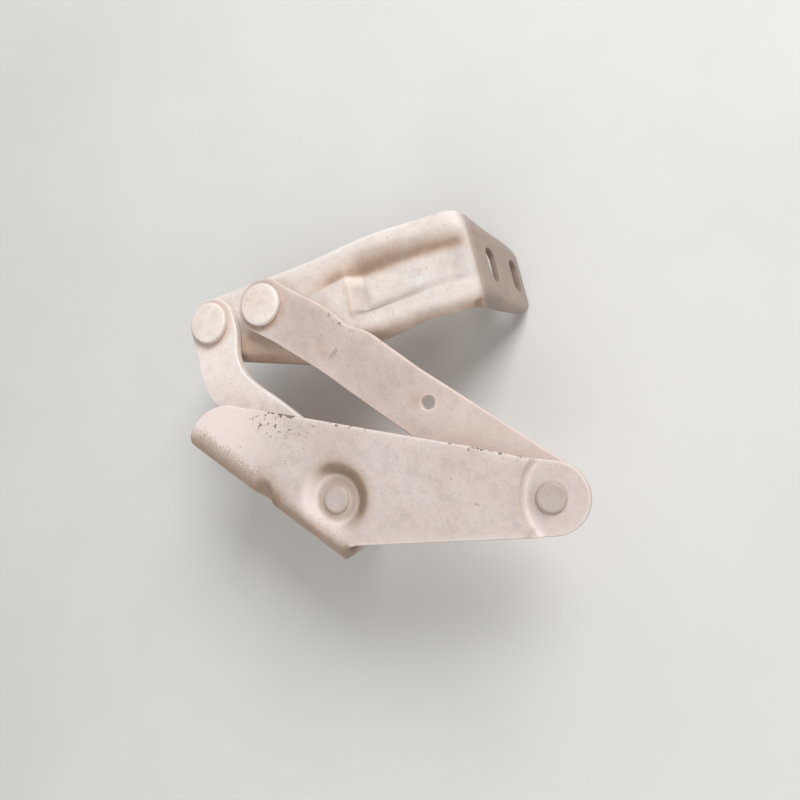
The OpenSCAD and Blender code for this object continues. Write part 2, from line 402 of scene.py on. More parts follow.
class Graph:
    """Small helper that adds nodes to a tree and joins their sockets."""

    def __init__(self, tree: bpy.types.NodeTree) -> None:
        """Keep the tree that the nodes go into."""
        self.tree = tree

    def node(self, kind: str, inputs: dict | None = None, **settings: object) -> bpy.types.Node:
        """Add a node.

        Args:
            kind: The node's type name.
            inputs: Values or sockets for its inputs, by name or number.
            settings: Plain properties of the node.

        Returns:
            The new node.
        """
        made = self.tree.nodes.new(kind)
        for key, value in settings.items():
            setattr(made, key, value)
        for key, value in (inputs or {}).items():
            if isinstance(value, bpy.types.NodeSocket):
                self.tree.links.new(value, made.inputs[key])
            else:
                made.inputs[key].default_value = value
        return made

    def math(self, kind: str, a: object, b: object = 0.0) -> bpy.types.NodeSocket:
        """Return the result of a math node on a and b."""
        return self.node("ShaderNodeMath", {0: a, 1: b}, operation=kind).outputs[0]

    def times(self, a: object, b: object) -> bpy.types.NodeSocket:
        """Return the product of a and b."""
        return self.math("MULTIPLY", a, b)

    def plus(self, a: object, b: object) -> bpy.types.NodeSocket:
        """Return the sum of a and b."""
        return self.math("ADD", a, b)

    def weigh(self, *terms: tuple[bpy.types.NodeSocket, float]) -> bpy.types.NodeSocket:
        """Return the sum of sockets, each times its weight."""
        total = self.times(*terms[0])
        for term in terms[1:]:
            total = self.plus(total, self.times(*term))
        return total

    def band(self, value: bpy.types.NodeSocket, low: float, high: float,
             to: tuple[float, float] = (0.0, 1.0)) -> bpy.types.NodeSocket:
        """Return value stretched smoothly from low and high to the ends of to."""
        made = self.node("ShaderNodeMapRange", {0: value, 1: low, 2: high, 3: to[0], 4: to[1]},
                         interpolation_type="SMOOTHSTEP")
        return made.outputs[0]

    def noise(self, where: bpy.types.NodeSocket, scale: float, detail: float = 3.0,
              rough: float = 0.55) -> bpy.types.NodeSocket:
        """Return the value of a noise texture at where."""
        made = self.node("ShaderNodeTexNoise", {
            "Vector": where, "Scale": scale, "Detail": detail, "Roughness": rough})
        return made.outputs[0]

    def layer(self, layer: Layer) -> bpy.types.NodeSocket:
        """Return the value of a wear layer stored on the mesh."""
        return self.node("ShaderNodeAttribute", attribute_name=layer.value).outputs["Fac"]

    def mix(self, share: object, a: object, b: object) -> bpy.types.NodeSocket:
        """Return colour a with a share of colour b laid over it."""
        made = self.node("ShaderNodeMix", {0: share, 6: a, 7: b}, data_type="RGBA")
        return made.outputs[2]

    def surface(self, inputs: dict[str, object]) -> None:
        """Add the shader with its inputs and join it to the material's output."""
        shader = self.node("ShaderNodeBsdfPrincipled", inputs)
        self.node("ShaderNodeOutputMaterial", {"Surface": shader.outputs[0]})


def new_graph(name: str) -> tuple[bpy.types.Material, Graph]:
    """Return a new material and the helper that fills its empty node tree."""
    made = bpy.data.materials.new(name)
    made.use_nodes = True
    made.node_tree.nodes.clear()
    return made, Graph(made.node_tree)


def new_group(name: str, inputs: dict[str, str], output: str) -> bpy.types.NodeTree:
    """Return a new geometry node group.

    Args:
        name: Name of the group.
        inputs: The kind of each input by its name.
        output: Name of its geometry output.

    Returns:
        The group, still empty.
    """
    tree = bpy.data.node_groups.new(name, "GeometryNodeTree")
    for label, kind in inputs.items():
        tree.interface.new_socket(label, in_out="INPUT", socket_type="NodeSocket" + kind)
    tree.interface.new_socket(output, in_out="OUTPUT", socket_type="NodeSocketGeometry")
    return tree


def rgba(colour: Colour) -> tuple[float, float, float, float]:
    """Return a colour with full opacity."""
    return (*colour, 1.0)


@dataclass(frozen=True)
class WornPaint:
    """Satin off-white paint that is clouded, specked and chipped at edges, soiled and painted with shade in
    hollows and on faces turned from the light, and painted with light on lit faces and edges.
    """

    name: str
    light: Colour
    shade: Colour
    # Colours of soil with painted shade, of its darkest coat, and of painted grey shade
    soil_and_shade: Colour = (0.47, 0.30, 0.195)
    grime_and_shade: Colour = (0.21, 0.14, 0.098)
    greying_and_shade_tint: Colour = (0.40, 0.345, 0.32)
    chip: Colour = (0.085, 0.065, 0.052)
    chipping: float = 0.4
    soiling_and_shade: float = 0.95
    specks: float = 0.6
    roughness: float = 0.46

    def material(self) -> bpy.types.Material:
        """Return the paint as a material on object coordinates, made once."""
        made = bpy.data.materials.get(self.name)
        if made:
            return made
        made, g = new_graph(self.name)
        where = g.node("ShaderNodeTexCoord").outputs["Object"]
        edge, shade_and_stain, worn, chips, scored, pale, dull = (g.layer(layer) for layer in Layer)
        cloud = g.noise(where, 32.0, 4.0)
        mottle = g.noise(where, 170.0, 4.0, 0.6)
        grain = g.noise(where, 900.0, 2.0)
        ragged = g.noise(where, 420.0, 5.0, 0.62)
        patch = g.noise(where, 75.0, 3.0)

        # Painted light, soil with painted shade, painted grey shade, rubbing and scratches
        # Painted light: the lit-face layer, and a painted highlight along every edge
        painted_lighting = g.math("MAXIMUM", pale, g.times(edge, 0.5))
        # Soil and stains together with painted shade in hollows and on faces turned from the light
        stain_and_shade_share = g.times(shade_and_stain, g.band(patch, 0.15, 0.75, (0.74 * self.soiling_and_shade, self.soiling_and_shade)))
        # Painted deep grey shade where the grey layer is strongest
        deep_greying_and_shade = g.times(g.band(dull, 0.8, 1.0, (0.0, 0.68)), g.band(mottle, 0.3, 0.6, (0.75, 1.0)))
        stipple = g.weigh((worn, 0.55), (g.noise(where, 1050.0, 2.5, 0.6), 1.0), (patch, 0.25))
        rubbed = g.times(g.band(stipple, 0.80, 1.04), g.band(worn, 0.02, 0.2))
        streak = g.node("ShaderNodeMapping", {
            "Vector": where, "Rotation": (0.0, 0.0, math.radians(38.0)), "Scale": (1100.0, 70.0, 70.0)})
        streak = g.band(g.noise(streak.outputs[0], 1.0, 2.0), 0.60, 0.66)
        scores = g.times(streak, g.band(scored, 0.25, 0.6))

        # Specks, torn edges and cracked flakes
        dots = g.band(g.noise(where, 520.0, 2.0, 0.5), 0.715, 0.75)
        dots = g.times(dots, g.band(patch, 0.42, 0.56, (0.0, self.specks)))
        torn = g.weigh((edge, 0.45 * self.chipping), (chips, 0.62), (ragged, 0.75), (patch, 0.35))
        torn = g.band(torn, 1.09, 1.13)
        swirl = g.node("ShaderNodeTexNoise", {"Vector": where, "Scale": 150.0, "Detail": 3.0}).outputs[1]
        bent = g.node("ShaderNodeVectorMath", {0: swirl, 1: (0.008, 0.008, 0.008), 2: where},
                      operation="MULTIPLY_ADD").outputs[0]
        cell = g.node("ShaderNodeTexVoronoi", {"Vector": bent, "Scale": 210.0}, feature="DISTANCE_TO_EDGE")
        crack = g.times(g.band(cell.outputs[0], 0.08, 0.03), g.band(ragged, 0.53, 0.60))
        torn = g.math("MAXIMUM", torn, g.times(crack, g.band(chips, 0.08, 0.35)))
        bare = g.math("MAXIMUM", g.math("MAXIMUM", torn, dots), g.times(scores, 0.8))

        # Coats of colour over the base paint, from the lowest up, painted light and painted shade among
        # them
        smudge = tuple(0.70 * c for c in self.shade)
        coats = [
            (g.band(cloud, 0.32, 0.70), self.shade),
            (g.band(mottle, 0.42, 0.72, (0.0, 0.34)), smudge),
            (g.band(grain, 0.44, 0.74, (0.0, 0.30)), smudge),
            (g.band(patch, 0.50, 0.78, (0.0, 0.13)), self.soil_and_shade),
            # Painted light on lit faces, highlights and edges
            (g.times(painted_lighting, 0.85), tuple(min(0.92, 1.3 * c) for c in self.light)),
            # Painted grey shade
            (g.times(dull, g.band(patch, 0.2, 0.7, (0.6, 1.0))), self.greying_and_shade_tint),
            # Soil with painted shade, and a darker coat where it is deepest
            (stain_and_shade_share, self.soil_and_shade),
            (g.band(stain_and_shade_share, 0.45, 1.15, (0.0, 0.75)), self.grime_and_shade),
            # Painted deep grey shade
            (deep_greying_and_shade, tuple(0.72 * c for c in self.greying_and_shade_tint)),
            (g.times(rubbed, 0.6), self.soil_and_shade),
            (g.times(bare, 0.8), self.chip)]
        colour = rgba(self.light)
        for share, tint in coats:
            colour = g.mix(share, colour, rgba(tint))

        rough = g.plus(g.weigh((mottle, 0.22), (bare, 0.12)), self.roughness - 0.11)
        relief = g.weigh((grain, 0.30), (mottle, 0.9), (torn, -0.9), (rubbed, -0.5), (scores, -0.6))
        dent = g.node("ShaderNodeBump", {"Strength": 0.30, "Distance": 0.0005, "Height": relief})
        g.surface({"Base Color": colour, "Roughness": rough, "Normal": dent.outputs[0],
                   "Specular IOR Level": 0.42})
        return made


@dataclass(frozen=True)
class TurnedMetal:
    """Bare metal with fine turning marks and dull oil stains."""

    name: str
    base: Colour
    stain: Colour
    roughness: float = 0.38

    def material(self) -> bpy.types.Material:
        """Return the metal as a material on object coordinates."""
        made, g = new_graph(self.name)
        where = g.node("ShaderNodeTexCoord").outputs["Object"]
        stains = g.band(g.noise(where, 240.0, 4.0), 0.42, 0.68)
        fine = g.node("ShaderNodeMapping", {"Vector": where, "Scale": (120.0, 120.0, 6000.0)})
        marks = g.noise(fine.outputs[0], 1.0, 2.0, 0.5)
        colour = g.mix(g.times(stains, 0.7), rgba(self.base), rgba(self.stain))
        rough = g.plus(g.times(stains, 0.22), self.roughness)
        dent = g.node("ShaderNodeBump", {"Strength": 0.2, "Distance": 0.0002, "Height": marks})
        g.surface({"Base Color": colour, "Roughness": rough, "Normal": dent.outputs[0], "Metallic": 1.0})
        return made


BRACKET_PAINT = WornPaint("bracket_paint", (0.70, 0.61, 0.575), (0.62, 0.53, 0.49),
                          soil_and_shade=(0.43, 0.295, 0.205))
SHORT_PAINT = WornPaint("short_link_paint", (0.91, 0.815, 0.765), (0.83, 0.735, 0.685), chipping=0.2)
LONG_PAINT = WornPaint("long_link_paint", (0.68, 0.57, 0.525), (0.575, 0.465, 0.42))
ARM_PAINT = WornPaint("arm_paint", (0.84, 0.77, 0.725), (0.77, 0.685, 0.63), chipping=0.2,
                      soil_and_shade=(0.53, 0.335, 0.215))
RIVET_PAINT = WornPaint("rivet_paint", (0.92, 0.82, 0.75), (0.85, 0.745, 0.675), chipping=0.2,
                        soiling_and_shade=0.5, roughness=0.40)
WASHER_STEEL = TurnedMetal("washer_steel", (0.52, 0.50, 0.48), (0.28, 0.25, 0.22))
BUSH_BRONZE = TurnedMetal("bush_bronze", (0.60, 0.44, 0.24), (0.30, 0.19, 0.09))


@dataclass
class BodyBracket:
    """Pressed bracket with a bolting flange, a dished seat, a stepped ear and a dart on its bend."""

    thickness: float = 4.0
    bend_radius: float = 9.0
    flange_depth: float = 64.0
    flange_half: float = 49.5
    bolt_half: float = 26.0
    bolt_radius: float = 4.5
    tail_centre: tuple[float, float] = (-27.5, 8.0)
    tail_radius: float = 23.4
    ear_radius: float = 14.5
    seat_depth: float = FACE_Z - SEAT_Z
    seat_rim: float = 16.3
    seat_floor: float = 9.5
    step_offset: tuple[float, float] = (9.6, 6.6)
    step_radius: float = 23.6
    step_run: float = 2.2
    dart_x: float = -1.5
    dart_radius: float = 6.8
    rake: float = 6.5
    rake_start: float = -13.0
    flange_corner: float = 8.0
    tail_hole: float = 4.25
    # Rings of wear in the dish, as radius and width
    button_foot: tuple[float, float] = (7.6, 1.7)
    floor_edge: tuple[float, float] = (10.3, 0.8)

    def outline(self) -> Array:
        """Return the blank's outline: x along the bend, y from the bend's start on the plate."""
        up, half, r = self.bend_radius, self.flange_half, self.flange_corner
        low = -(self.flange_depth - up) - 0.5 * math.pi * up
        lean = (self.rake_start - low) * math.tan(math.radians(self.rake))
        points = arc(np.array([-half + 13.5, low + r]), r, 190.0, 270.0, 9)
        points += arc(np.array([half - 10.0 - lean, low + r]), r, 270.0, 356.0, 9)
        points += [*np.array([(half - 2.0, self.rake_start), (half - 1.8, -2.4), (half - 0.2, 0.2)])]
        points += arc(PIVOT_D - [0.0, up], self.ear_radius, -53.4, 107.0, 40)
        top = np.array([(92.0, 77.9), (72.5, 71.2), (34.6, 56.6), (-3.4, 42.2), (-26.0, 33.5)])
        points += [*(top - [0.0, up])]
        points += arc(np.array(self.tail_centre) - [0.0, up], self.tail_radius, 101.0, 176.0, 30)
        points += [*np.array([(-half - 0.5, -8.0), (-half, -15.0)])]
        return relax(resample(points, 1.1), 3)

    def step_centre(self) -> Array:
        """Return the centre of the ear's round step."""
        return PIVOT_D + np.array(self.step_offset)

    def press(self, front: Array) -> Array:
        """Return how far the dies push each point of the front face.

        Args:
            front: Points of the bent sheet's front face.

        Returns:
            Displacements, one row each.
        """
        push = np.zeros_like(front)
        reach = apart(front[:, :2], PIVOT_A)
        dish = unit((self.seat_rim - reach) / (self.seat_rim - self.seat_floor))
        dish = 0.5 * smooth(dish) + 0.5 * dish ** 1.5
        step = fall(apart(front[:, :2], self.step_centre()), self.step_radius, self.step_run)
        ring = 0.3 * bump(reach, self.seat_floor + 0.1, 0.9)
        push[:, 2] = (ring - self.seat_depth * np.maximum(dish, step)) * (front[:, 2] > PLATE_Z)
        aside = front[:, 0] - self.dart_x
        corner = (front[:, 1] + FACE_Z - front[:, 2]) * math.sqrt(0.5)
        dent = np.sqrt(np.maximum(self.dart_radius ** 2 - aside ** 2, 0.0)) - corner
        dent = 0.5 * (dent + np.sqrt(dent ** 2 + 0.7)) * fall(np.abs(aside), 12.0, 6.0)
        dent *= fall(corner, 13.0, 5.0)
        return push + dent[:, None] * np.array([0.0, math.sqrt(0.5), -math.sqrt(0.5)])

    def place(self, blank: Array, depth: Array) -> Array:
        """Bend the blank and press its seats.

        Args:
            blank: Points of the flat blank.
            depth: Depth of each point below the front face.

        Returns:
            Points in the hinge's frame, in millimetres.
        """
        r = self.bend_radius
        turn = np.clip(-blank[:, 1] / r, 0.0, 0.5 * math.pi)
        past = np.maximum(-blank[:, 1] - 0.5 * math.pi * r, 0.0)
        y = r - r * np.sin(turn) + np.maximum(blank[:, 1], 0.0)
        z = FACE_Z - r + r * np.cos(turn) - past
        front = np.column_stack([blank[:, 0], y, z])
        out = np.column_stack([np.zeros(len(y)), -np.sin(turn), np.cos(turn)])
        return front - out * depth[:, None] + self.press(front)

    def shade_and_stain(self, blank: Array) -> Array:
        """Return where painted shade with some soil lies: on the dish's upper wall turned from the light
        and round its button, in the dart, along the bend and at the flange's cut end, and as a thin line at
        the step.
        """
        x, y = blank.T
        front = self.place(blank, np.zeros(len(blank)))
        on_plate = front[:, 2] > PLATE_Z
        reach, side = from_pivot(front[:, :2], PIVOT_A, (0.25, 0.97))
        shaded = rise(side, -0.55, 1.45)
        # Painted shade: the dish's wall is darker on its side turned from the light
        wall = bump(reach, 13.3, 3.9) * (0.05 + 1.3 * shaded)
        wall += bump(reach, *self.button_foot) * (0.62 - 0.2 * shaded)
        wall *= 1.0 - 0.55 * bump(reach, *self.floor_edge)
        dart = bump(x, self.dart_x + 1.5, 6.0) * fall(y, 10.0, 12.0) * rise(y, -26.0, 8.0)
        right = rise(x, 2.0, 8.0)
        bend = fall(y, 1.5 - right, 10.0 - 5.0 * right)
        bend *= 0.78 + 0.22 * bump(x, 50.0, 7.0)
        bend = np.maximum(bend, 0.7 * bump(x, 7.5, 6.0) * fall(y, 4.0, 6.0))
        bend *= 0.45 + 0.55 * rise(y, -40.0, 24.0)
        end = rise(x, 45.0, 2.0) * fall(y, 0.5, 2.0)
        bend = np.maximum(bend, end * (np.abs(y + 18.0) < 20.0))
        # Painted shade: a thin dark line along the ear's step
        step = bump(apart(front[:, :2], self.step_centre()), 23.3, 0.5)
        return unit((wall + 0.55 * step) * on_plate + 0.75 * dart + bend)

    def dull(self, blank: Array) -> Array:
        """Return where grey is painted: painted shade on the dish's shaded wall and round its button, a
        painted shadow beside the ear's button and painted shade at its step.
        """
        plan = blank + [0.0, self.bend_radius]
        reach, side = from_pivot(plan, PIVOT_A, (0.7, 0.7))
        dish = 0.75 * bump(reach, 11.4, 3.0) * rise(side, -0.2, 0.9)
        dish += 0.35 * bump(reach, *self.button_foot)
        dish *= 1.0 - 0.5 * bump(reach, *self.floor_edge)
        # Painted shadow of the ear's button, on the side away from the light
        reach, side = from_pivot(plan, PIVOT_D, (-0.72, -0.69))
        beside = rise(side, 0.1, 0.7) * bump(reach, 7.4, 2.0)
        x, y = (plan - PIVOT_D).T
        notch = bump(x, 0.4, 1.3) * fall(y, -12.6, 1.6)
        return unit(dish + 0.6 * beside + 0.75 * notch)

    def pale(self, blank: Array) -> Array:
        """Return where the paint is lightened: painted light towards the tail, painted highlights round the
        dish's floor, on its lit lower wall and on the ear's step, and lighter just above the bend and a
        little on the ear.
        """
        x, y = blank.T
        plan = blank + [0.0, self.bend_radius]
        # Painted light towards the tail, and painted highlights round the dish and on the step
        below = bump(x, 34.0, 12.0) * bump(y, 2.0, 4.0)
        step = bump(apart(plan, self.step_centre()), 21.6, 1.5)
        reach, side = from_pivot(plan, PIVOT_A, (-0.75, -0.66))
        ring = 0.5 * bump(reach, 10.4, 0.8) + 0.6 * bump(reach, 13.6, 2.4) * rise(side, -0.1, 0.8)
        ear = 0.16 * rise(x, 100.0, 10.0)
        painted_lighting = fall(x, 4.0, 42.0) + 0.5 * below + 0.45 * step + ring + ear
        return rise(y, -2.0, 6.0) * unit(painted_lighting)

    def worn(self, blank: Array) -> Array:
        """Return how much the paint is rubbed through: a stippled band along the bend."""
        x, y = blank.T
        band = fall(y, 8.0, 10.0) * rise(y, -26.0, 10.0) * rise(x, -52.0, 10.0)
        return band * (0.30 + 0.45 * fall(x, 6.0, 12.0))

    def creases(self) -> Array:
        """Return points of the blank along the ear's step, where the sheet bends sharply."""
        centre = self.step_centre() - [0.0, self.bend_radius]
        radii = np.linspace(self.step_radius + 0.5, self.step_radius - self.step_run - 0.5, 8)
        return np.vstack([arc(centre, r, 120.0, 280.0, 96) for r in radii])

    def chips(self, blank: Array) -> Array:
        """Return where the paint flakes: a cluster next to the tail and spots along the upper edge."""
        x, y, z = self.place(blank, np.zeros(len(blank))).T
        along = (x + 8.0) * 0.934 + (y - 36.0) * 0.357
        inward = (x + 8.0) * 0.357 - (y - 40.0) * 0.934
        flakes = bump(along, -1.0, 15.0) * fall(inward, 15.0, 11.0)
        rim = 0.8 * bump(along, 22.0, 22.0) * fall(inward, 5.0, 4.0)
        inset = 45.2 + 0.309 * x - 0.951 * y
        rim = np.maximum(rim, 0.9 * bump(x, 77.0, 17.0) * fall(inset, 3.0, 2.4))
        return 0.66 * np.maximum(flakes, rim) * (z > PLATE_Z)

    def build(self) -> bpy.types.Object:
        """Build and dress the bracket.

        Returns:
            The finished piece, which replaces the plain solid.
        """
        up = np.array([0.0, self.bend_radius])
        drop = -self.bend_radius * 0.5 * math.pi - (FACE_Z - self.bend_radius)
        holes = [round_hole((s * self.bolt_half, drop), self.bolt_radius) for s in (-1.0, 1.0)]
        holes += [round_hole(p - up, self.tail_hole) for p in (PIVOT_A, PIVOT_D)]
        sheet = Sheet(self.outline(), holes, self.place, self.thickness, grid=1.2, raw=0.55,
                      crease=self.creases())
        piece = sheet.build("bracket_pressing", {
            Layer.SHADE_AND_STAIN: self.shade_and_stain, Layer.WORN: self.worn, Layer.CHIPS: self.chips,
            Layer.PAINTED_LIGHT: self.pale, Layer.GREYING_AND_SHADE: self.dull})
        piece.data.materials.append(BRACKET_PAINT.material())
        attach(piece, "bracket")
        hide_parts("body_bracket")
        return piece


@dataclass
class ShortLink:
    """Cranked flat link from the dished seat to the arm's first pivot."""

    length: float = 112.5
    thickness: float = 4.0
    knee: tuple[float, float] = (84.5, 12.6)
    knee_radius: float = 11.4
    seat_radius: float = 14.5
    arm_radius: float = 13.0
    bush_radius: float = 7.0
    angle: float = 161.9945

    def outline(self) -> Array:
        """Return the link's outline in its own frame, with its crank on the +y side."""
        k, b = np.array(self.knee), np.array([self.length, 0.0])
        points = arc(np.zeros(2), self.seat_radius, 100.0, 268.0, 40)
        points += [*np.array([(30.0, -10.6), (50.0, -5.8), (59.0, -3.4), (70.0, 0.0),
                              (79.0, 1.7), (86.0, 0.5), (92.0, -2.7), (98.5, -8.6)])]
        points += arc(b, self.arm_radius, 240.0, 424.0, 34)
        points += [*np.array([(106.0, 16.2), (96.0, 21.0)])]
        points += arc(k, self.knee_radius, 72.0, 98.0, 8)
        return relax(resample(points, 1.0), 12)

    def place(self, blank: Array, depth: Array) -> Array:
        """Return the blank's points in the hinge's frame at their depths."""
        plan = turned(blank, PIVOT_A, self.angle)
        return np.column_stack([plan, LINK_Z - depth])

    def shade_and_stain(self, blank: Array) -> Array:
        """Return where a painted shadow lies: a ring beside the rivet's head."""
        return 0.55 * bump(apart(blank, [self.length, 0.0]), HEAD_RING, 1.6)

    def build(self) -> bpy.types.Object:
        """Build and dress the short link.

        Returns:
            The finished piece, which replaces the plain solid.
        """
        holes = [round_hole((x, 0.0), self.bush_radius) for x in (0.0, self.length)]
        sheet = Sheet(self.outline(), holes, self.place, self.thickness, grid=1.8, raw=0.32)
        piece = sheet.build("short_link_plate", {Layer.SHADE_AND_STAIN: self.shade_and_stain})
        piece.data.materials.append(SHORT_PAINT.material())
        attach(piece, "short")
        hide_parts("short_link")
        return piece


@dataclass
class LongLink:
    """Straight link with a slight joggle and a small hole, from the ear to the arm's second pivot."""

    length: float = 160.8
    thickness: float = 4.0
    angle: float = 177.6
    ear_radius: float = 14.0
    arm_radius: float = 13.5
    bush_radius: float = 7.0
    loose_radius: float = 8.0
    hole_place: tuple[float, float] = (64.0, -4.3)
    hole_radius: float = 3.0
    joggle: float = 1.5
    joggle_start: float = 107.8
    joggle_run: float = 13.0

    def outline(self) -> Array:
        """Return the link's outline in its own frame; +y is the side towards the bracket."""
        far = np.array([self.length, 0.0])
        points = arc(np.zeros(2), self.ear_radius, 90.0, 270.0, 36)
        points += [*np.array([(40.0, -14.3), (62.0, -14.5), (75.0, -14.5), (95.0, -15.6),
                              (104.5, -16.2), (109.0, -15.7), (115.5, -13.6), (121.0, -14.3),
                              (129.0, -15.2), (138.0, -15.0), (146.0, -13.9)])]
        points += arc(far, self.arm_radius, -100.0, 86.0, 36)
        points += [*np.array([(146.0, 11.5), (118.0, 10.3), (99.0, 10.9), (63.0, 11.6)])]
        return relax(resample(points, 1.0), 5)

    def place(self, blank: Array, depth: Array) -> Array:
        """Return the blank's points in the hinge's frame, raised past the joggle."""
        plan = turned(blank, PIVOT_D, self.angle)
        lift = self.joggle * rise(blank[:, 0], self.joggle_start, self.joggle_run)
        return np.column_stack([plan, LINK_Z + lift - depth])

    def shade_and_stain(self, blank: Array) -> Array:
        """Return where a stain lies by the small hole, and a painted shadow on one side of the head's ring.
        """
        x, y = blank.T
        stain = bump(x, self.hole_place[0] + 4.5, 3.5) * bump(y, self.hole_place[1] + 1.0, 3.0)
        away = blank - [self.length, 0.0]
        # Painted shadow of the head, on one side only
        beside = bump(np.linalg.norm(away, axis=1), HEAD_RING, 1.7)
        beside *= smooth((4.0 - away[:, 0] + away[:, 1]) / 16.0)
        return unit(0.55 * stain + 0.75 * beside)

    def dull(self, blank: Array) -> Array:
        """Return where grey is painted: a painted shade below the joggle, and greyer along the middle."""
        x, y = blank.T
        spot = bump(x, 106.5, 6.0) * bump(y, -7.0, 4.5)
        return unit(0.3 * spot + 0.25 * bump(x, 98.0, 22.0) * bump(y, -2.0, 9.0))

    def pale(self, blank: Array) -> Array:
        """Return where light is painted: the link grows lighter towards the ear."""
        return 0.40 * fall(blank[:, 0], 72.0, 36.0)

    def chips(self, blank: Array) -> Array:
        """Return where the paint flakes: along the edge over the arm, by the joggle."""
        x, y = blank.T
        return 0.50 * fall(y, -9.5, 5.0) * rise(x, 108.0, 5.0) * fall(x, 134.0, 6.0)

    def scored(self, blank: Array) -> Array:
        """Return where the plate is scratched: a few strokes by the joggle."""
        x, y = blank.T
        return bump(x, 115.5, 4.0) * bump(y, 2.5, 5.0)

    def build(self) -> bpy.types.Object:
        """Build and dress the long link.

        Returns:
            The finished piece, which replaces the plain solid.
        """
        holes = [round_hole((0.0, 0.0), self.bush_radius),
                 round_hole((self.length, 0.0), self.loose_radius),
                 round_hole(self.hole_place, self.hole_radius, 0.5)]
        sheet = Sheet(self.outline(), holes, self.place, self.thickness, grid=1.8)
        piece = sheet.build("long_link_plate", {
            Layer.SHADE_AND_STAIN: self.shade_and_stain, Layer.CHIPS: self.chips, Layer.SCORED: self.scored,
            Layer.PAINTED_LIGHT: self.pale, Layer.GREYING_AND_SHADE: self.dull})
        piece.data.materials.append(LONG_PAINT.material())
        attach(piece, "long")
        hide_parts("long_link")
        return piece


@dataclass
class Corner:
    """One rounded corner of the arm's flat web, with the roll of its edge where it begins and ends."""

    x: float
    y: float
    radius: float
    roll_in: float
    roll_out: float

    def at(self, angle: float) -> Array:
        """Return the corner's point that faces an angle in degrees."""
        return arc(np.array([self.x, self.y]), self.radius, angle, angle, 1)[0]


